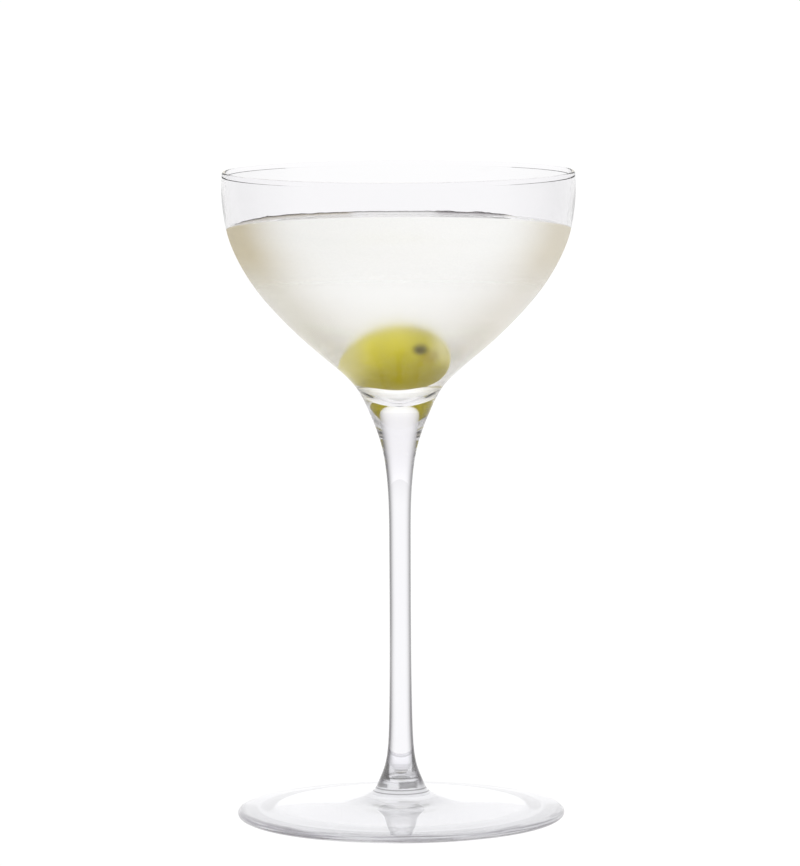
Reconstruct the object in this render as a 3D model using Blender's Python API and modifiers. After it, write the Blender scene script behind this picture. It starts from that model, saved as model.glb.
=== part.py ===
# A martini in its coupe glass.
# The glass is one turned piece: a wide shallow bowl, a thin stem and a round foot.
# The drink is a second turned piece that fills the bowl up to a finger's width under the lip.
# Metres, +Z up. The origin is at the middle of the foot's underside, on the surface it stands on.

import math

import bpy

MM = 0.001

# Driving sizes of the glass
HEIGHT = 174.7 * MM
LIP_RADIUS = 47.3 * MM
LIP_THICKNESS = 1.1 * MM
FOOT_RADIUS = 44.2 * MM
FOOT_EDGE = 2.2 * MM
BOWL_FLOOR = 113.4 * MM

# Outside of the glass in millimetres, as (radius, height), from under the lip down to the foot's edge
BELLY = [(47.5, 170.5), (47.05, 164.0), (45.6, 157.0), (42.6, 150.0), (38.2, 143.0), (32.2, 136.0)]
CONE = [(25.1, 129.0), (17.0, 122.0), (11.6, 116.5)]
FUNNEL = [(8.2, 110.0), (5.2, 102.0), (3.45, 92.0)]
STEM = [(2.9, 75.0), (2.9, 45.0), (3.1, 28.0), (3.5, 19.0)]
FLARE = [(4.45, 13.5), (5.8, 10.0), (7.6, 6.9), (10.5, 5.3)]
FOOT_TOP = [(18.0, 4.4), (30.0, 3.5), (40.0, 2.6)]

# Inside of the bowl in millimetres, as (radius, height), from the floor up to the lip
FLOOR_BEND = [(4.0, 114.6), (8.6, 117.6)]
INNER_CONE = [(14.4, 122.0), (22.8, 129.0), (30.4, 136.0)]
INNER_BELLY = [(36.6, 143.0), (41.2, 150.0), (44.3, 157.0), (45.85, 164.0), (46.4, 170.5)]

# Underside of the foot: a flat ring to rest on, round a shallow hollow
RING_OUTER = 42.8 * MM
RING_INNER = 39.0 * MM
HOLLOW_RADIUS = 33.0 * MM
HOLLOW_DEPTH = 0.9 * MM

# Drink
LEVEL = 158.8 * MM
WALL_GAP = 0.3 * MM

# Fineness of the turned shapes
SIDES = 48
CURVE_STEPS = 2
ROUND_STEPS = 6
FLAT_STEPS = 4


def metres(stations):
    return [(radius * MM, height * MM) for radius, height in stations]


def limited_slopes(values, lengths):
    """Slopes at the points of a curve, held back so that it never swings past a point."""
    steps = [(b - a) / length for a, b, length in zip(values, values[1:], lengths)]
    slopes = [steps[0]]
    for before, after in zip(steps, steps[1:]):
        same_way = before * after > 0.0
        slopes.append(2.0 * before * after / (before + after) if same_way else 0.0)
    slopes.append(steps[-1])
    return slopes


def smooth(points, steps):
    """Points of a smooth curve through the given ones, with this many steps between neighbours."""
    lengths = [math.dist(a, b) for a, b in zip(points, points[1:])]
    slopes = [limited_slopes([p[axis] for p in points], lengths) for axis in (0, 1)]
    curve = []
    for index, length in enumerate(lengths):
        for step in range(steps):
            t = step / steps
            at = []
            for axis in (0, 1):
                start, end = points[index][axis], points[index + 1][axis]
                leave, arrive = slopes[axis][index] * length, slopes[axis][index + 1] * length
                rise = t * t * (3.0 - 2.0 * t)
                bend = t * (1.0 - t) ** 2 * leave - t * t * (1.0 - t) * arrive
                at.append(start + (end - start) * rise + bend)
            curve.append(tuple(at))
    curve.append(tuple(points[-1]))
    return curve


def arc(centre, radii, start, end, steps):
    """Points along an ellipse's arc, from one angle to another in degrees."""
    points = []
    for step in range(steps + 1):
        angle = math.radians(start + (end - start) * step / steps)
        points.append((centre[0] + radii[0] * math.cos(angle), centre[1] + radii[1] * math.sin(angle)))
    return points


def inside_of_bowl():
    """Inside of the bowl from the middle of its floor up to just under the lip."""
    rise = metres(FLOOR_BEND + INNER_CONE + INNER_BELLY)
    return smooth([(0.0, BOWL_FLOOR)] + rise, CURVE_STEPS)


def outside_of_glass():
    """Outside of the glass from just under the lip down to the top of the foot's edge."""
    return smooth(metres(BELLY + CONE + FUNNEL + STEM + FLARE + FOOT_TOP), CURVE_STEPS)


def glass_profile():
    lip = LIP_THICKNESS / 2.0
    lip_round = arc((LIP_RADIUS - lip, HEIGHT - lip), (lip, lip), 180.0, 0.0, ROUND_STEPS)
    edge = FOOT_EDGE / 2.0
    edge_round = arc((RING_OUTER, edge), (FOOT_RADIUS - RING_OUTER, edge), 80.0, -90.0, ROUND_STEPS)
    hollow = [(RING_INNER, 0.0), (HOLLOW_RADIUS, HOLLOW_DEPTH), (0.0, HOLLOW_DEPTH)]
    return inside_of_bowl() + lip_round + outside_of_glass() + edge_round + hollow


def moved_inwards(curve, gap):
    """The curve shifted off the wall that it follows, towards the bowl's axis."""
    shifted = []
    for before, point, after in zip(curve, curve[1:], curve[2:]):
        across, up = after[0] - before[0], after[1] - before[1]
        length = math.hypot(across, up)
        shifted.append((point[0] - gap * up / length, point[1] + gap * across / length))
    return shifted


def drink_profile():
    """From the middle of the surface out to the wall, then down the wall to the floor's middle."""
    wall = moved_inwards(inside_of_bowl(), WALL_GAP)
    wetted = [point for point in wall if point[1] < LEVEL - WALL_GAP]
    above = next(point for point in wall if point[1] >= LEVEL - WALL_GAP)
    below = wetted[-1]
    share = (LEVEL - below[1]) / (above[1] - below[1])
    brim = below[0] + (above[0] - below[0]) * share
    surface = [(brim * step / FLAT_STEPS, LEVEL) for step in range(FLAT_STEPS + 1)]
    return surface + wetted[::-1] + [(0.0, BOWL_FLOOR + WALL_GAP)]


def material(name, color, roughness, ior):
    result = bpy.data.materials.new(name)
    result.use_nodes = True
    shader = result.node_tree.nodes["Principled BSDF"]
    shader.inputs["Base Color"].default_value = (*color, 1.0)
    shader.inputs["Roughness"].default_value = roughness
    shader.inputs["Metallic"].default_value = 0.0
    shader.inputs["Transmission Weight"].default_value = 1.0
    shader.inputs["IOR"].default_value = ior
    return result


def turned(name, profile, surface, collection):
    """A closed body turned from a profile that starts and ends on the axis."""
    mesh = bpy.data.meshes.new(name)
    points = [(radius, 0.0, height) for radius, height in profile]
    edges = [(index, index + 1) for index in range(len(points) - 1)]
    mesh.from_pydata(points, edges, [])
    mesh.materials.append(surface)
    body = bpy.data.objects.new(name, mesh)
    collection.objects.link(body)
    screw = body.modifiers.new("Turn", "SCREW")
    screw.axis = "Z"
    screw.angle = math.tau
    screw.screw_offset = 0.0
    screw.steps = SIDES
    screw.render_steps = SIDES
    screw.use_merge_vertices = True
    screw.merge_threshold = 0.01 * MM
    screw.use_smooth_shade = True
    return body


def build():
    for old in list(bpy.data.objects):
        bpy.data.objects.remove(old)
    collection = bpy.data.collections.new("martini")
    bpy.context.scene.collection.children.link(collection)
    clear_glass = material("clear glass", (0.96, 0.97, 0.98), 0.0, 1.5)
    pale_spirit = material("pale spirit", (0.93, 0.90, 0.78), 0.0, 1.35)
    turned("glass", glass_profile(), clear_glass, collection)
    turned("drink", drink_profile(), pale_spirit, collection)


build()
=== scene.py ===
import math

import bmesh
import bpy
import numpy as np
from mathutils import Euler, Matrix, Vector, noise


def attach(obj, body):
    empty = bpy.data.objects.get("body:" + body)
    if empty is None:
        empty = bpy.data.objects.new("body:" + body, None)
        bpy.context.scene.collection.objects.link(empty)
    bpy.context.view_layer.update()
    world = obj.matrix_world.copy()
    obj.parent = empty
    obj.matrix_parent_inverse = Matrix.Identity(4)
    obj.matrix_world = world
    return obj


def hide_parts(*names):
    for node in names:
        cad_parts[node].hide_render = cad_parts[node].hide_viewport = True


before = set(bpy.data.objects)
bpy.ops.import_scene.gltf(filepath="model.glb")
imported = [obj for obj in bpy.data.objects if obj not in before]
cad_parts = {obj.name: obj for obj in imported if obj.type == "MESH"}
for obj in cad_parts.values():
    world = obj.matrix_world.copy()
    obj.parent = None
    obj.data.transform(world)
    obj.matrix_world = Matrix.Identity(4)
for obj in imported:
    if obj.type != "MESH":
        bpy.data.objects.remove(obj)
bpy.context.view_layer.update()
mm = 0.001


# Camera and shared tools

camera = {
    "distance": 1600 * mm,  # from the stem's axis, level
    "height": 279.4 * mm,
    "sideways": 0.13 * mm,
    "pitchDown": 6.25,  # degrees
    "roll": -0.25,
    "lens": 248.8,
    "sensor": 36.0,
    "sees": (0.05, 60.0),  # nearest and farthest, in metres
}

turning = {
    "sides": 256,
    "curveSteps": 9,
    "roundSteps": 14,
    "merge": 0.002 * mm,
}


class Signal:
    # an output of a node; sums and products of signals add the Math nodes
    def __init__(self, graph, socket):
        self.graph = graph
        self.socket = socket

    def math(self, operation, first, second):
        return self.graph.node("ShaderNodeMath", {"operation": operation}, {0: first, 1: second})

    def larger(self, other):
        return self.math("MAXIMUM", self, other)

    def smaller(self, other):
        return self.math("MINIMUM", self, other)

    def __add__(self, other):
        return self.math("ADD", self, other)

    def __sub__(self, other):
        return self.math("SUBTRACT", self, other)

    def __rsub__(self, other):
        return self.math("SUBTRACT", other, self)

    def __mul__(self, other):
        return self.math("MULTIPLY", self, other)

    def __truediv__(self, other):
        return self.math("DIVIDE", self, other)

    def __pow__(self, other):
        return self.math("POWER", self, other)

    def __abs__(self):
        return self.math("ABSOLUTE", self, 0.0)

    __radd__ = __add__
    __rmul__ = __mul__


class Graph:
    # the node tree of a material or of the world
    def __init__(self, owner):
        owner.use_nodes = True
        self.tree = owner.node_tree
        self.tree.nodes.clear()

    def node(self, kind, settings=None, inputs=None, output=0):
        made = self.tree.nodes.new(kind)
        for name, value in (settings or {}).items():
            setattr(made, name, value)
        for name, value in (inputs or {}).items():
            if isinstance(value, Signal):
                self.tree.links.new(value.socket, made.inputs[name])
            else:
                made.inputs[name].default_value = value
        return Signal(self, made.outputs[output])

    def place(self):
        return self.node("ShaderNodeTexCoord", output="Object")

    def split(self, vector, axis):
        return self.node("ShaderNodeSeparateXYZ", {}, {0: vector}, output=axis)

    def distance(self, first, second):
        ends = {0: first, 1: second}
        return self.node("ShaderNodeVectorMath", {"operation": "DISTANCE"}, ends, output="Value")

    def facing(self):
        # 0 where the surface faces the eye, 1 where it is seen at a slant
        return self.node("ShaderNodeLayerWeight", {}, {"Blend": 0.5}, output="Facing")

    def ramp(self, value, fromLow, fromHigh, toLow=0.0, toHigh=1.0):
        spans = {0: value, 1: fromLow, 2: fromHigh, 3: toLow, 4: toHigh}
        return self.node("ShaderNodeMapRange", {"interpolation_type": "SMOOTHSTEP"}, spans)

    def noise(self, vector, scale, detail=3.0, rough=0.5):
        values = {"Vector": vector, "Scale": scale, "Detail": detail, "Roughness": rough}
        return self.node("ShaderNodeTexNoise", {}, values)

    def mixColors(self, factor, low, high):
        return self.node("ShaderNodeMix", {"data_type": "RGBA"}, {0: factor, 6: low, 7: high}, output=2)

    def mixShaders(self, factor, low, high):
        return self.node("ShaderNodeMixShader", {}, {0: factor, 1: low, 2: high})

    def principled(self, values):
        return self.node("ShaderNodeBsdfPrincipled", {}, values)

    def finish(self, shader, kind="ShaderNodeOutputMaterial", volume=None):
        made = self.tree.nodes.new(kind)
        self.tree.links.new(shader.socket, made.inputs["Surface"])
        if volume:
            self.tree.links.new(volume.socket, made.inputs["Volume"])


def color(red, green, blue):
    return (red, green, blue, 1.0)


def newMaterial(name):
    material = bpy.data.materials.new(name)
    return material, Graph(material)


def spline(points, steps):
    # a curve through the points whose bend changes smoothly, so that reflections in the glass flow on
    knots = np.array(points, float)
    lengths = np.hypot(*np.diff(knots, axis=0).T)
    count = len(knots)
    system = np.eye(count)
    target = np.zeros((count, 2))
    for i in range(1, count - 1):
        system[i, i - 1:i + 2] = lengths[i - 1], 2 * (lengths[i - 1] + lengths[i]), lengths[i]
        rise = (knots[i + 1] - knots[i]) / lengths[i] - (knots[i] - knots[i - 1]) / lengths[i - 1]
        target[i] = 6 * rise
    bends = np.linalg.solve(system, target)
    curve = []
    for i, length in enumerate(lengths):
        for t in np.arange(steps) / steps:
            lower = (1 - t) * knots[i] + ((1 - t) ** 3 - (1 - t)) * length ** 2 / 6 * bends[i]
            upper = t * knots[i + 1] + (t ** 3 - t) * length ** 2 / 6 * bends[i + 1]
            curve.append(tuple(lower + upper))
    return curve + [tuple(knots[-1])]


def arc(centre, radii, start, end, steps):
    angles = np.radians(np.linspace(start, end, steps + 1))
    return [(centre[0] + radii[0] * math.cos(a), centre[1] + radii[1] * math.sin(a)) for a in angles]


def inMetres(stations):
    return [(radius * mm, height * mm) for radius, height in stations]


def shareBetween(value, low, high):
    return min(max((value - low) / (high - low), 0), 1)


def bodyFrom(name, build, materials):
    mesh = bpy.data.meshes.new(name)
    build.to_mesh(mesh)
    build.free()
    mesh.shade_smooth()
    for material in materials:
        mesh.materials.append(material)
    body = bpy.data.objects.new(name, mesh)
    bpy.context.scene.collection.objects.link(body)
    return body


def turned(name, profile, materials):
    # a smooth body turned from a profile that starts and ends on the axis and runs down its outer side
    outline = bpy.data.meshes.new(name)
    points = [(max(radius, 0.0), 0, height) for radius, height in profile]
    outline.from_pydata(points, [(i, i + 1) for i in range(len(points) - 1)], [])
    pattern = bpy.data.objects.new("outline", outline)
    bpy.context.scene.collection.objects.link(pattern)
    screw = pattern.modifiers.new("turn", "SCREW")
    screw.steps = screw.render_steps = turning["sides"]
    screw.use_merge_vertices = True
    screw.merge_threshold = turning["merge"]
    ready = pattern.evaluated_get(bpy.context.evaluated_depsgraph_get())
    build = bmesh.new()
    build.from_mesh(bpy.data.meshes.new_from_object(ready))
    bpy.data.objects.remove(pattern)
    return bodyFrom(name, build, materials)


def makeCamera():
    lens = bpy.data.cameras.new("camera")
    lens.lens = camera["lens"]
    lens.sensor_width = camera["sensor"]
    lens.clip_start, lens.clip_end = camera["sees"]
    body = bpy.data.objects.new("camera", lens)
    body.location = (camera["sideways"], -camera["distance"], camera["height"])
    pitch = Euler((math.radians(90 - camera["pitchDown"]), 0, 0)).to_matrix()
    roll = Euler((0, 0, math.radians(camera["roll"]))).to_matrix()
    body.rotation_euler = (pitch @ roll).to_euler()
    bpy.context.scene.collection.objects.link(body)
    bpy.context.scene.camera = body


# Studio: a white sweep behind the glass, greyer to the sides, as the photo's glass shows at its edges

studio = {
    "behind": 1.17,
    "sides": (0.70, 0.40),  # left and right of the glass
    "sideSpan": (-0.6, 0.6),  # over which the left side's shade turns into the right side's
    "front": 0.95,
    "top": 1.0,
    "topFrom": (0.5, 0.9),  # how steeply up the top's shade begins and is full
    "whiteWithin": (8.0, 62.0),  # degrees from straight behind, where the white fades out
    "frontWithin": (84.0, 118.0),
    "floor": 0.937,  # the floor's brightness against the studio's
    "floorWhite": (0.16, 0.42),  # metres from the stem, where the white floor fades to the studio's shade
    "floorRadius": 30.0,
    "floorSides": 96,
    "floorDrop": 0.05 * mm,  # under the glass, so that the two don't share a face
    "paper": color(0.9, 0.9, 0.9),
    "paperShare": 0.25,  # of the floor's light that comes off it as off paper, the rest being its own
}


def aroundShade(graph, x, y):
    # brightness by the direction seen from the glass, over the ground
    flat = (x * x + y * y + 1e-9) ** 0.5  # never quite nothing, because it divides
    towardsBack = y / flat
    cosines = [math.cos(math.radians(angle)) for angle in studio["whiteWithin"] + studio["frontWithin"]]
    behind = graph.ramp(towardsBack, cosines[1], cosines[0])
    inFront = graph.ramp(towardsBack, cosines[2], cosines[3])
    sides = graph.ramp(x / flat, *studio["sideSpan"], *studio["sides"])
    fromSides = sides + behind * (studio["behind"] - sides)
    return fromSides + inFront * (studio["front"] - sides)


def makeStudio():
    world = bpy.data.worlds.new("studio")
    bpy.context.scene.world = world
    graph = Graph(world)
    way = graph.node("ShaderNodeTexCoord", output="Generated")
    x, y, z = (graph.split(way, axis) for axis in ("X", "Y", "Z"))
    around = aroundShade(graph, x, y)
    overhead = graph.ramp(z, *studio["topFrom"])
    shade = around * (1 - overhead) + overhead * studio["top"]
    light = graph.node("ShaderNodeBackground", {}, {"Color": color(1, 1, 1), "Strength": shade})
    graph.finish(light, "ShaderNodeOutputWorld")

    material, graph = newMaterial("white sweep")
    where = graph.place()
    x, y = graph.split(where, "X"), graph.split(where, "Y")
    distance = (x * x + y * y) ** 0.5
    far = graph.ramp(distance, *studio["floorWhite"])
    shade = (aroundShade(graph, x, y) * far + (1 - far) * studio["behind"]) * studio["floor"]
    lit = graph.node("ShaderNodeEmission", {}, {"Color": color(1, 1, 1), "Strength": shade})
    paper = graph.node("ShaderNodeBsdfDiffuse", {}, {"Color": studio["paper"]})
    graph.finish(graph.mixShaders(studio["paperShare"], lit, paper))
    build = bmesh.new()
    sides, radius = studio["floorSides"], studio["floorRadius"]
    bmesh.ops.create_circle(build, cap_ends=True, segments=sides, radius=radius)
    floor = bodyFrom("floor", build, [material])
    floor.location.z = -studio["floorDrop"]

    bpy.context.scene.view_settings.view_transform = "Standard"


# Glass: its form

glass = {
    "lipHeight": 174.7 * mm,
    "lipRadius": 47.3 * mm,
    "lipThickness": 1.1 * mm,
    "footRadius": 44.2 * mm,
    "footEdge": 2.2 * mm,
    "footBlend": 0.25 * mm,  # how far past the ring the foot's top runs into its edge
    "edgeStarts": 80,  # degrees up from level, where the edge's rounding begins at the top
    "bowlFloor": 113.4 * mm,
    # stations as (radius, height) in millimetres
    "belly": [(47.49, 170.5), (47.05, 164.0), (45.6, 157.0), (42.6, 150.0), (38.2, 143.0), (32.2, 136.0)],
    "cone": [(25.1, 129.0), (17.0, 122.0), (11.6, 116.5)],
    "funnel": [(8.2, 110.0), (5.2, 102.0), (3.45, 92.0)],
    "stem": [(2.9, 75.0), (2.9, 45.0), (3.1, 28.0), (3.5, 19.0)],
    "flare": [(4.45, 13.5), (5.8, 10.0), (7.6, 6.9), (10.5, 5.3)],
    "footTop": [(18.0, 4.4), (30.0, 3.5), (40.0, 2.6)],
    "innerFloor": [(4.0, 114.6), (8.6, 117.6)],
    "innerCone": [(14.4, 122.0), (22.8, 129.0), (30.4, 136.0)],
    "innerBelly": [(36.6, 143.0), (41.2, 150.0), (44.3, 157.0), (45.85, 164.0), (46.4, 170.5)],
    "ringOuter": 42.8 * mm,
    "ringInner": 39.0 * mm,
    "hollowRadius": 33.0 * mm,
    "hollowDepth": 0.9 * mm,
    "outerSkin": 0.25 * mm,  # faces this near to the outside belong to it
    "index": 1.62,
    "gloss": color(0.2, 0.2, 0.2),
}


def insideOfBowl():
    # mirrored over the axis first, so that the floor is level in the middle
    rise = inMetres(glass["innerFloor"] + glass["innerCone"] + glass["innerBelly"])
    lip = glass["lipThickness"]
    rise.append((glass["lipRadius"] - lip, glass["lipHeight"] - lip / 2))
    mirrored = [(-radius, height) for radius, height in rise[1::-1]]
    curve = spline(mirrored + [(0.0, glass["bowlFloor"])] + rise, turning["curveSteps"])
    return curve[len(mirrored) * turning["curveSteps"]:]


def outsideOfGlass():
    names = ("belly", "cone", "funnel", "stem", "flare", "footTop")
    stations = inMetres(sum((glass[name] for name in names), []))
    lip = (glass["lipRadius"], glass["lipHeight"] - glass["lipThickness"] / 2)
    edgeTop = (glass["ringOuter"] + glass["footBlend"], glass["footEdge"])
    return spline([lip] + stations + [edgeTop], turning["curveSteps"])


def glassProfile():
    lip = glass["lipThickness"] / 2
    steps = turning["roundSteps"]
    lipRound = arc((glass["lipRadius"] - lip, glass["lipHeight"] - lip), (lip, lip), 180, 0, steps)
    edge = glass["footEdge"] / 2
    reach = glass["footRadius"] - glass["ringOuter"]
    edgeRound = arc((glass["ringOuter"], edge), (reach, edge), glass["edgeStarts"], -90, steps)
    hollow = []
    for share in np.linspace(0, 1, steps):
        radius = glass["ringInner"] + (glass["hollowRadius"] - glass["ringInner"]) * share
        hollow.append((radius, glass["hollowDepth"] * (1 - math.cos(math.pi * share)) / 2))
    hollow.append((0.0, glass["hollowDepth"]))
    return insideOfBowl()[:-1] + lipRound + outsideOfGlass()[1:-1] + edgeRound + hollow


# Glass: what its four finishes share

def litThrough(graph, shader):
    # lets plain light pass, so that what the glass holds is lit as by day; the eye still sees the glass
    shadow = graph.node("ShaderNodeLightPath", output="Is Shadow Ray")
    diffuse = graph.node("ShaderNodeLightPath", output="Is Diffuse Ray")
    passing = graph.node("ShaderNodeBsdfTransparent", {}, {"Color": color(1, 1, 1)})
    return graph.mixShaders(shadow.larger(diffuse), shader, passing)


def pureGlass(graph, tint, roughness, gloss):
    return graph.principled({
        "Base Color": tint,
        "Roughness": roughness,
        "IOR": glass["index"],
        "Transmission Weight": 1.0,
        "Specular Tint": gloss,
    })


def fromAxis(graph, where):
    x, y = graph.split(where, "X"), graph.split(where, "Y")
    return (x * x + y * y) ** 0.5


# Clear glass of the stem, the foot's top and the bowl's inside

clear = {
    "tint": color(0.985, 0.985, 0.99),
    "stemTint": color(0.93, 0.925, 0.95),
    # painted shade in the funnel under the bowl
    "funnelShade": color(0.78, 0.77, 0.80),
    "funnelFrom": (84.0 * mm, 100.0 * mm),
    "edgeShade": color(0.25, 0.24, 0.245),  # painted shade of the solid stem, where it is seen at a slant
    "lowEdgeShade": color(0.06, 0.055, 0.06),  # the same painted shade near the foot
    "slant": (0.08, 0.7),
    "lowSlant": 0.3,  # how much sooner the slant tells near the foot
    "lowStem": (60.0 * mm, 25.0 * mm),
    "stemStarts": (7.0 * mm, 10.0 * mm),
    "stemEnds": (114.5 * mm, 109.0 * mm),
    # painted reflections of the dark room, as dark patches in the stem's base: across, height, half width,
    # half height, strength
    "patches": [
        (-3.4 * mm, 13.0 * mm, 1.2 * mm, 2.3 * mm, 1.0),
        (2.6 * mm, 9.7 * mm, 2.5 * mm, 0.9 * mm, 0.8),
        (-4.2 * mm, 9.3 * mm, 1.3 * mm, 0.5 * mm, 0.7),
        (4.4 * mm, 15.5 * mm, 0.6 * mm, 2.6 * mm, 0.8),
        (0.9 * mm, 12.6 * mm, 1.5 * mm, 1.0 * mm, 0.25),
    ],
    "patchEdge": (1.15, 0.8),
    "patchSway": ((160.0, 2.0, 0.5), 1.6 * mm),  # noise that bends their sides, and its reach
    "patchRise": ((240.0, 2.0, 0.5), 0.9 * mm),
    # painted dark reflected rings where the foot begins: height, half width
    "collars": [(10.9 * mm, 0.28 * mm), (7.9 * mm, 0.22 * mm), (7.0 * mm, 0.18 * mm)],
    "collarShare": 0.75,
    "lineCore": 0.4,  # share of a ring's or line's half width that is fully dark
    # the painted shade of those patches and rings
    "baseShade": color(0.05, 0.048, 0.045),
    # painted shade in streaks and painted dark reflected lines round the foot's edge
    "band": (41.8 * mm, 43.0 * mm),
    "bandTop": (4 * mm, 3 * mm),
    "bandShade": color(0.40, 0.38, 0.41),
    "streakFlatness": (1.0, 1.0, 40.0),
    "streaks": (45.0, 3.0, 0.6),
    "streakRange": (0.4, 0.6),
    "rimLines": [(0.4 * mm, 0.22 * mm), (1.15 * mm, 0.26 * mm), (1.85 * mm, 0.2 * mm)],
    "rimWaves": ((28.0, 2.0, 0.5), 1.2 * mm),
    "rimBreaks": (22.0, 2.0, 0.5),
    "rimBreakRange": (0.42, 0.56),
    "rimShare": 0.7,
    "blurredFrom": (120.0 * mm, 137.0 * mm),  # the inner wall, which helps the mist to blur the olive
    "blur": 0.2,
}


def stemTint(graph, height):
    # painted shade: the solid stem is darker where it is seen at a slant, most of all near the foot, and
    # darker towards the funnel
    low = graph.ramp(height, *clear["lowStem"])
    edge = graph.mixColors(low, clear["edgeShade"], clear["lowEdgeShade"])
    core = graph.mixColors(graph.ramp(height, *clear["funnelFrom"]), clear["stemTint"], clear["funnelShade"])
    slant = graph.ramp(graph.facing() * (low * clear["lowSlant"] + 1), *clear["slant"])
    return graph.mixColors(slant, core, edge)


# painted reflections of the room, as dark patches and rings in the stem's base
def paintedShadeInBase(graph, where, height):
    (sway, swayReach), (rise, riseReach) = clear["patchSway"], clear["patchRise"]
    across = graph.split(where, "X") + graph.noise(where, *sway) * swayReach
    ragged = height + graph.noise(where, *rise) * riseReach
    dark = 0.0
    for middle, level, halfWidth, halfHeight, strength in clear["patches"]:
        aside, over = (across - middle) / halfWidth, (ragged - level) / halfHeight
        dark = graph.ramp(abs(aside).larger(abs(over)), *clear["patchEdge"]) * strength + dark
    for level, half in clear["collars"]:
        dark = graph.ramp(abs(height - level), half, half * clear["lineCore"]) * clear["collarShare"] + dark
    return dark.smaller(1.0)


def paintedRimShade(graph, where, height, tint):
    # painted shade in fine streaks and broken dark reflected lines round the foot's edge
    band = graph.ramp(fromAxis(graph, where), *clear["band"]) * graph.ramp(height, *clear["bandTop"])
    flatness = {0: where, 1: clear["streakFlatness"]}
    flattened = graph.node("ShaderNodeVectorMath", {"operation": "MULTIPLY"}, flatness)
    streaks = graph.ramp(graph.noise(flattened, *clear["streaks"]), *clear["streakRange"])
    streaked = graph.mixColors(band * streaks, tint, clear["bandShade"])
    waves, reach = clear["rimWaves"]
    wavy = height + (graph.noise(where, *waves) - 0.5) * reach
    broken = graph.ramp(graph.noise(where, *clear["rimBreaks"]), *clear["rimBreakRange"])
    lines = 0.0
    for level, half in clear["rimLines"]:
        lines = graph.ramp(abs(wavy - level), half, half * clear["lineCore"]) + lines
    dark = lines.smaller(1.0) * broken * band * clear["rimShare"]
    return graph.mixColors(dark, streaked, clear["edgeShade"])


def clearGlass():
    material, graph = newMaterial("clear glass")
    where = graph.place()
    height = graph.split(where, "Z")
    stem = graph.ramp(height, *clear["stemStarts"]) * graph.ramp(height, *clear["stemEnds"])
    tint = graph.mixColors(stem, clear["tint"], stemTint(graph, height))
    tint = graph.mixColors(paintedShadeInBase(graph, where, height), tint, clear["baseShade"])
    tint = paintedRimShade(graph, where, height, tint)
    underDrops = graph.ramp(height, mist["top"], mist["fades"])
    blurred = graph.ramp(height, *clear["blurredFrom"], 0.0, clear["blur"]) * underDrops
    graph.finish(litThrough(graph, pureGlass(graph, tint, blurred, glass["gloss"])))
    return material


# Underside of the foot, which shows the paper that it lies on and mirrors the stem

underside = {
    "tint": color(0.89, 0.89, 0.92),
    "mirror": 0.45,  # share of the light that it turns back
    "index": 1.0,
    # painted shade in a broken ring near the edge, round the stem and on the hollow's slope
    "ringShade": color(0.60, 0.60, 0.63),
    "ringStarts": (39.6 * mm, 41.0 * mm),
    "ringEnds": (42.5 * mm, 42.2 * mm),
    "uneven": (40.0, 2.0, 0.5),
    "unevenRange": (0.35, 0.65),
    "nearStem": (24.0 * mm, 9.0 * mm),
    "nearShadeShare": 0.4,
    "slopeShade": color(0.64, 0.64, 0.67),
    "slope": (-0.5 * mm, 1.5 * mm),  # from the hollow's flat top outwards, where it begins and is full
    "below": 3 * mm,
    "facesDown": -0.8,
}


def restingGlass():
    material, graph = newMaterial("resting glass")
    where = graph.place()
    radius = fromAxis(graph, where)
    # painted shade: a broken grey ring, greyer near the stem and on the hollow's slope
    ring = graph.ramp(radius, *underside["ringStarts"]) * graph.ramp(radius, *underside["ringEnds"])
    uneven = graph.ramp(graph.noise(where, *underside["uneven"]), *underside["unevenRange"])
    shade = graph.mixColors(ring * uneven, underside["tint"], underside["ringShade"])
    near = graph.ramp(radius, *underside["nearStem"])
    shade = graph.mixColors(near * underside["nearShadeShare"], shade, underside["ringShade"])
    slope = graph.ramp(radius, *(glass["hollowRadius"] + past for past in underside["slope"]))
    shade = graph.mixColors(slope, shade, underside["slopeShade"])
    shader = graph.principled({
        "Base Color": shade,
        "Metallic": underside["mirror"],
        "Roughness": 0.0,
        "IOR": underside["index"],
        "Transmission Weight": 1.0,
    })
    graph.finish(litThrough(graph, shader))
    return material


# Lip, which is thin and round, bends light little and shows as a fine line

lipFinish = {
    "from": 173.2 * mm,
    "tint": color(0.96, 0.955, 0.965),
    # painted shade where the lip is seen at a slant
    "slantShade": color(0.88, 0.87, 0.88),
    "slant": (0.5, 1.0),
    "index": 1.05,
}


def lipGlass():
    material, graph = newMaterial("lip glass")
    # painted shade where the lip is seen at a slant
    slant = graph.ramp(graph.facing(), *lipFinish["slant"])
    shader = graph.principled({
        "Base Color": graph.mixColors(slant, lipFinish["tint"], lipFinish["slantShade"]),
        "Roughness": 0.0,
        "IOR": lipFinish["index"],
        "Transmission Weight": 1.0,
    })
    graph.finish(litThrough(graph, shader))
    return material


# Outside of the bowl, with fine drops of condensation up to the drink's level

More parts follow.
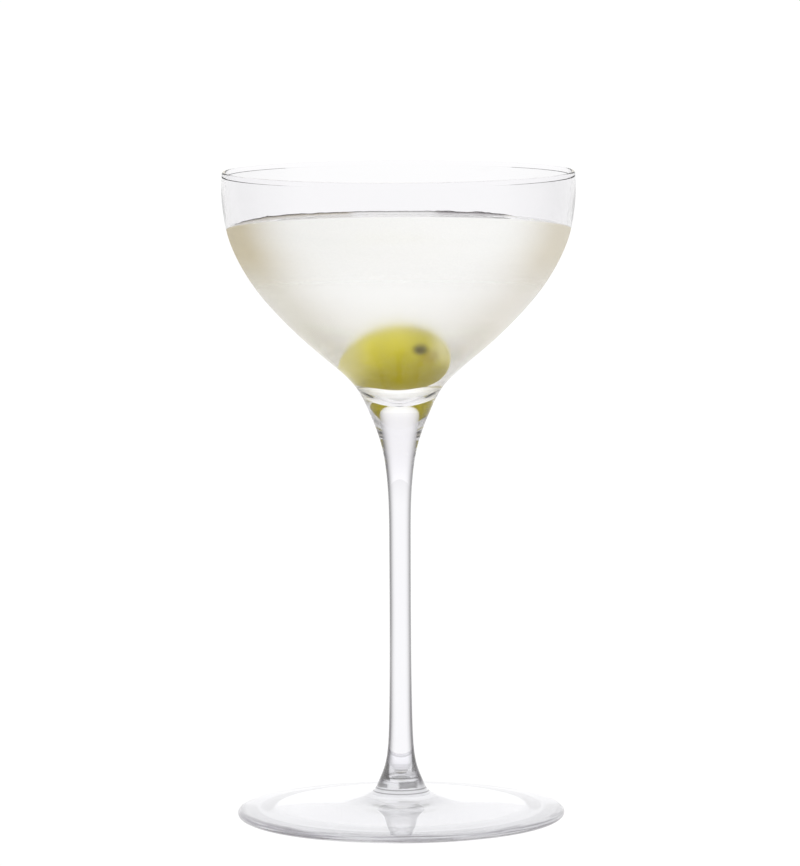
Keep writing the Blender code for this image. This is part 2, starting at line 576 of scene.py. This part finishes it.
mist = {
    "low": 118.0 * mm,  # where the condensation starts, above the bowl's floor
    "margin": 6 * mm,  # how far below that its finish begins
    "full": 139.0 * mm,
    "fades": 158.7 * mm,
    "top": 159.25 * mm,
    "lean": 0.146,  # the drops reach higher on the near side of the glass
    "ragged": 1.5 * mm,
    "patches": (120.0, 4.0, 0.6),
    "roughness": 0.25,
    "leastRoughness": 0.02,
    "gathering": 1.1,
    "started": (0.0, 0.35),
    "gloss": color(0.02, 0.02, 0.02),
    "veil": 0.11,  # share of light that the drops spread all round
    "brimVeil": 0.92,  # more of it over the drink's edge
    "brim": (139.0 * mm, 152.0 * mm),
    "drops": 0.13,  # unevenness of the veil, from drop to drop
    "dropNoise": (5000.0, 0.0),
    "haze": 0.15,  # more of it to the left and right of the olive
    "hazes": [  # from and to, across, then where each rises and fades
        ((-8.5 * mm, -14.0 * mm), (119.0 * mm, 125.0 * mm), (138.0 * mm, 132.0 * mm)),
        ((7.0 * mm, 11.5 * mm), (123.5 * mm, 128.0 * mm), (138.0 * mm, 132.0 * mm)),
    ],
    "dry": color(0.93, 0.923, 0.935),  # painted grey shade of the wall over the drops
    "clear": color(0.995, 0.995, 0.99),
    "slant": (0.18, 0.64),
    "limbShade": color(0.65, 0.61, 0.50),  # painted shade with a painted yellowish reflection of the drink, where the wall is seen at a slant
    "brimLimbShade": color(0.68, 0.61, 0.46),
    # the same painted shade, lighter on the right
    "rightLimbShade": color(0.76, 0.71, 0.61),
    "rightFrom": (5 * mm, 30 * mm),
}


def mistShade(graph, across, level):
    # the wall's tint: painted shade with a painted yellowish reflection of the drink where the filled part
    # is seen at a slant, lighter on the right, and painted grey shade above the drops
    limbShade = graph.mixColors(graph.ramp(level, *mist["brim"]), mist["limbShade"], mist["brimLimbShade"])
    limbShade = graph.mixColors(graph.ramp(across, *mist["rightFrom"]), limbShade, mist["rightLimbShade"])
    shade = graph.mixColors(graph.ramp(graph.facing(), *mist["slant"]), mist["clear"], limbShade)
    return graph.mixColors(graph.ramp(level, mist["fades"], mist["top"]), shade, mist["dry"])


def mistedGlass():
    material, graph = newMaterial("misted glass")
    where = graph.place()
    across, height = graph.split(where, "X"), graph.split(where, "Z")
    lifted = height + (graph.noise(where, *mist["patches"]) - 0.5) * (2 * mist["ragged"])
    level = height + graph.split(where, "Y").smaller(0.0) * mist["lean"]
    amount = graph.ramp(lifted, mist["low"], mist["full"]) * graph.ramp(level, mist["top"], mist["fades"])
    overBrim = graph.ramp(level, *mist["brim"]) * (mist["brimVeil"] - mist["veil"])
    drops = (graph.noise(where, *mist["dropNoise"]) - 0.5) * mist["drops"]
    veiled = amount * (mist["veil"] + overBrim + drops)
    for side, low, high in mist["hazes"]:
        beside = graph.ramp(across, *side) * graph.ramp(height, *low) * graph.ramp(height, *high)
        veiled = veiled + beside * mist["haze"]
    shade = mistShade(graph, across, level)
    dry = pureGlass(graph, shade, 0.0, glass["gloss"])
    roughness = amount ** mist["gathering"] * mist["roughness"] + mist["leastRoughness"]
    wet = pureGlass(graph, shade, roughness, mist["gloss"])
    plain = graph.mixShaders(graph.ramp(amount, *mist["started"]), dry, wet)
    veil = graph.node("ShaderNodeBsdfTranslucent", {}, {"Color": shade})
    graph.finish(litThrough(graph, graph.mixShaders(veiled, plain, veil)))
    return material


def makeGlass():
    finishes = [clearGlass(), mistedGlass(), restingGlass(), lipGlass()]
    piece = turned("glass_bowl_stem_foot", glassProfile(), finishes)
    faces = piece.data.polygons
    middles, normals = np.empty(len(faces) * 3), np.empty(len(faces) * 3)
    faces.foreach_get("center", middles)
    faces.foreach_get("normal", normals)
    x, y, height = middles.reshape(-1, 3).T
    radius, upward = np.hypot(x, y), normals.reshape(-1, 3)[:, 2]
    radii, heights = np.array(outsideOfGlass()[::-1]).T
    outside = radius > np.interp(height, heights, radii) - glass["outerSkin"]
    misted = outside & (height > mist["low"] - mist["margin"])
    low = (height < underside["below"]) & (radius < glass["ringOuter"])
    resting = low & (upward < underside["facesDown"])
    lip = height > lipFinish["from"]
    chosen = np.select([lip, resting, misted], [3, 2, 1], 0)
    faces.foreach_set("material_index", chosen.astype(np.int32))
    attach(piece, "root")
    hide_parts("glass")


# Drink

drink = {
    "level": 158.8 * mm,
    "climb": 0.9 * mm,  # of the surface up the far wall
    "nearClimb": 0.05,  # share of it on the near wall, where the photo shows no line
    "climbWidth": 1.3 * mm,
    "climbFrom": 0.002,  # share of the climb from which a point counts as raised
    "farSide": (-0.25, 0.05),  # from near to far, where the climb grows
    "rightEnd": (0.62, 0.74),  # from the middle to the right, where it ends
    "ragged": 0.25 * mm,
    "bumps": [(9, 1.0), (31, 0.6)],  # scale against the rim's radius, height against "ragged"
    "surfaceRings": 60,
    "surfaceSpread": 0.4,  # below 1 the rings crowd towards the wall
    "wallEnds": 0.2 * mm,  # how far below the contact line the wall's points stop
    # painted reflections, dark and light, in the line along the far wall, from left to right, and where one
    # turns into the next
    "brimReflections": [
        color(0.40, 0.36, 0.30),
        color(0.72, 0.71, 0.71),
        color(0.30, 0.28, 0.29),
        color(1.0, 0.97, 0.90),
    ],
    "brimBreaks": [(-15.0 * mm, -11.0 * mm), (9.0 * mm, 12.0 * mm), (28.0 * mm, 32.0 * mm)],
    "brimAbove": (0.05 * mm, 0.25 * mm),  # the level, where the line's shade begins and is full
    "intoWall": 0.15 * mm,
    "floorRadius": 9 * mm,  # within it the drink reaches down into the glass too
    "index": 1.355,
    "gloss": color(0.03, 0.03, 0.03),
    "tint": color(0.96, 0.93, 0.80),
    "density": 0.9,
}


def drinkProfile():
    into = drink["intoWall"]
    wall = [(r + into, h - (into if r + into < drink["floorRadius"] else 0.0)) for r, h in insideOfBowl()]
    wall[0] = (0.0, glass["bowlFloor"] - 2 * into)
    contact = drink["level"] + drink["climb"]
    wetted = [point for point in wall if point[1] < contact - drink["wallEnds"]]
    brim = float(np.interp(contact, [h for r, h in wall], [r for r, h in wall]))
    surface = []
    for share in np.linspace(0, 1, drink["surfaceRings"]) ** drink["surfaceSpread"]:
        radius = brim * share
        climb = drink["climb"] * math.exp((radius - brim) / drink["climbWidth"])
        surface.append((radius, drink["level"] + climb))
    return surface + wetted[::-1]


def pureDrink():
    material, graph = newMaterial("pale spirit")
    where = graph.place()
    across, height = graph.split(where, "X"), graph.split(where, "Z")
    # painted reflections in the line where the drink climbs the far wall
    shade = drink["brimReflections"][0]
    for turn, following in zip(drink["brimBreaks"], drink["brimReflections"][1:]):
        shade = graph.mixColors(graph.ramp(across, *turn), shade, following)
    brim = graph.ramp(height, *(drink["level"] + above for above in drink["brimAbove"]))
    shader = graph.principled({
        "Base Color": graph.mixColors(brim, color(1, 1, 1), shade),
        "Roughness": 0.0,
        "IOR": drink["index"],
        "Transmission Weight": 1.0,
        "Specular Tint": drink["gloss"],
    })
    tint = {"Color": drink["tint"], "Density": drink["density"]}
    graph.finish(litThrough(graph, shader), volume=graph.node("ShaderNodeVolumeAbsorption", {}, tint))
    return material


def climbShare(flat):
    # how much of the climb is left in a direction from the middle
    far = shareBetween(flat.y, *drink["farSide"])
    right = shareBetween(flat.x, *drink["rightEnd"])
    return drink["nearClimb"] + (1 - drink["nearClimb"]) * far * far * (3 - 2 * far) * (1 - right)


def makeDrink():
    piece = turned("drink", drinkProfile(), [pureDrink()])
    for vertex in piece.data.vertices:
        over = (vertex.co.z - drink["level"]) / drink["climb"]
        if over > drink["climbFrom"]:
            flat = Vector((vertex.co.x, vertex.co.y, 0)).normalized()
            bumps = sum(tall * noise.noise(flat * number) for number, tall in drink["bumps"])
            climb = drink["climb"] + drink["ragged"] * bumps
            vertex.co.z = drink["level"] + over * climbShare(flat) * climb
    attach(piece, "root")
    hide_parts("drink")


# Olive, wholly sunk in the drink

olive = {
    "centre": Vector((-0.25 * mm, 0.0, 129.5 * mm)),
    "halfLength": 15.0 * mm,
    "halfWidth": 10.55 * mm,
    "halfHeight": 12.0 * mm,
    "along": Vector((0.358, -0.92, 0.13)).normalized(),  # towards the viewer and a little to the right
    "subdivisions": 6,
    "lumps": [(1.7, 0.012), (6.0, 0.004)],  # scale, height against the olive's size
    "scarRadius": 1.25 * mm,
    "scarDepth": 0.9 * mm,
    "scarFade": (0.4, 2.3),  # in scar radii
    "scarTint": color(0.07, 0.052, 0.0),
    "bruise": Vector((2.6 * mm, 1.5 * mm, -2.6 * mm)),  # from the scar
    "bruiseFade": (4 * mm, 1 * mm),
    "bruiseShare": 0.5,
    "bruiseTint": color(0.36, 0.25, 0.01),
    "shadowed": (color(0.32, 0.265, 0.002), color(0.41, 0.345, 0.004)),
    "sunny": (color(0.70, 0.62, 0.010), color(0.84, 0.75, 0.02)),
    "sunnyFrom": (-11 * mm, 5 * mm),
    "mottling": (90.0, 3.0, 0.55),
    "mottlingRange": (0.3, 0.7),
    "rightSideShade": color(0.36, 0.30, 0.005),  # painted shade, darker on the right
    "rightSideShadeFrom": (-3 * mm, 6 * mm),
    "rightSideShadeShare": 0.45,
    "endHaze": color(0.90, 0.84, 0.32),  # painted haze of light, paler at both ends, on the right only above
    "leftEnd": (-5 * mm, -12 * mm),
    "rightEnd": (6 * mm, 10.5 * mm),
    "rightAbove": (-5 * mm, 1 * mm),
    "rightStrength": 1.4,
    "endShare": 0.6,
    "speckScale": 900.0,
    "speckEdge": (0.12, 0.3),
    "speckShare": 0.12,
    "speckTint": color(0.66, 0.60, 0.10),
    "relief": (420.0, 3.0, 0.5),
    "speckRelief": 0.4,
    "reliefStrength": 0.25,
    "reliefDepth": 0.3 * mm,
    "roughness": 0.45,
    "index": 1.42,
    "shine": 0.08,  # little gloss is left under the drink
}


def oliveFlesh(graph, where):
    side, height = graph.split(where, "X"), graph.split(where, "Z")
    mottled = graph.ramp(graph.noise(where, *olive["mottling"]), *olive["mottlingRange"])
    shadowed = graph.mixColors(mottled, *olive["shadowed"])
    sunny = graph.mixColors(mottled, *olive["sunny"])
    flesh = graph.mixColors(graph.ramp(height, *olive["sunnyFrom"]), shadowed, sunny)
    # painted shade on the right side
    darkerRight = graph.ramp(side, *olive["rightSideShadeFrom"]) * olive["rightSideShadeShare"]
    flesh = graph.mixColors(darkerRight, flesh, olive["rightSideShade"])
    # painted haze of light at both ends, on the right only above
    upperRight = graph.ramp(side, *olive["rightEnd"]) * graph.ramp(height, *olive["rightAbove"])
    ends = graph.ramp(side, *olive["leftEnd"]).larger(upperRight * olive["rightStrength"])
    return graph.mixColors(ends * olive["endShare"], flesh, olive["endHaze"])


def oliveSkin():
    material, graph = newMaterial("olive skin")
    where = graph.place()
    values = {"Vector": where, "Scale": olive["speckScale"]}
    specks = graph.node("ShaderNodeTexVoronoi", {"feature": "F1"}, values)
    dots = graph.ramp(specks, *olive["speckEdge"], 1.0, 0.0)
    skin = graph.mixColors(dots * olive["speckShare"], oliveFlesh(graph, where), olive["speckTint"])
    spot = olive["along"] * olive["halfLength"]
    fromBruise = graph.distance(where, tuple(spot + olive["bruise"]))
    bruise = graph.ramp(fromBruise, *olive["bruiseFade"]) * olive["bruiseShare"]
    skin = graph.mixColors(bruise, skin, olive["bruiseTint"])
    inner, outer = (olive["scarRadius"] * radii for radii in olive["scarFade"])
    scar = graph.ramp(graph.distance(where, tuple(spot)), inner, outer, 1.0, 0.0)
    relief = graph.noise(where, *olive["relief"]) + dots * olive["speckRelief"]
    lifts = {"Strength": olive["reliefStrength"], "Distance": olive["reliefDepth"], "Height": relief}
    graph.finish(graph.principled({
        "Base Color": graph.mixColors(scar, skin, olive["scarTint"]),
        "Roughness": olive["roughness"],
        "IOR": olive["index"],
        "Specular IOR Level": olive["shine"],
        "Normal": graph.node("ShaderNodeBump", {}, lifts),
    }))
    return material


def makeOlive():
    build = bmesh.new()
    bmesh.ops.create_icosphere(build, subdivisions=olive["subdivisions"], radius=1.0)
    along, width = olive["along"], olive["halfWidth"]
    across = along.cross(Vector((0, 0, 1))).normalized()
    upright = across.cross(along)
    for vertex in build.verts:
        way = vertex.co.normalized()
        lumps = 1 + sum(tall * noise.noise(way * scale) for scale, tall in olive["lumps"])
        point = along * way.dot(along) * olive["halfLength"] + across * way.dot(across) * width
        point = (point + upright * way.dot(upright) * olive["halfHeight"]) * lumps
        fromScar = math.acos(max(-1.0, min(1.0, way.dot(along)))) * width
        dent = math.exp(-(fromScar / olive["scarRadius"]) ** 2)
        vertex.co = point - along * dent * olive["scarDepth"]
    piece = bodyFrom("olive", build, [oliveSkin()])
    piece.location = olive["centre"]
    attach(piece, "root")


makeCamera()
makeStudio()
print("camera and studio are set")
makeGlass()
print("glass is turned")
makeDrink()
print("drink is poured")
makeOlive()
print("olive is in")
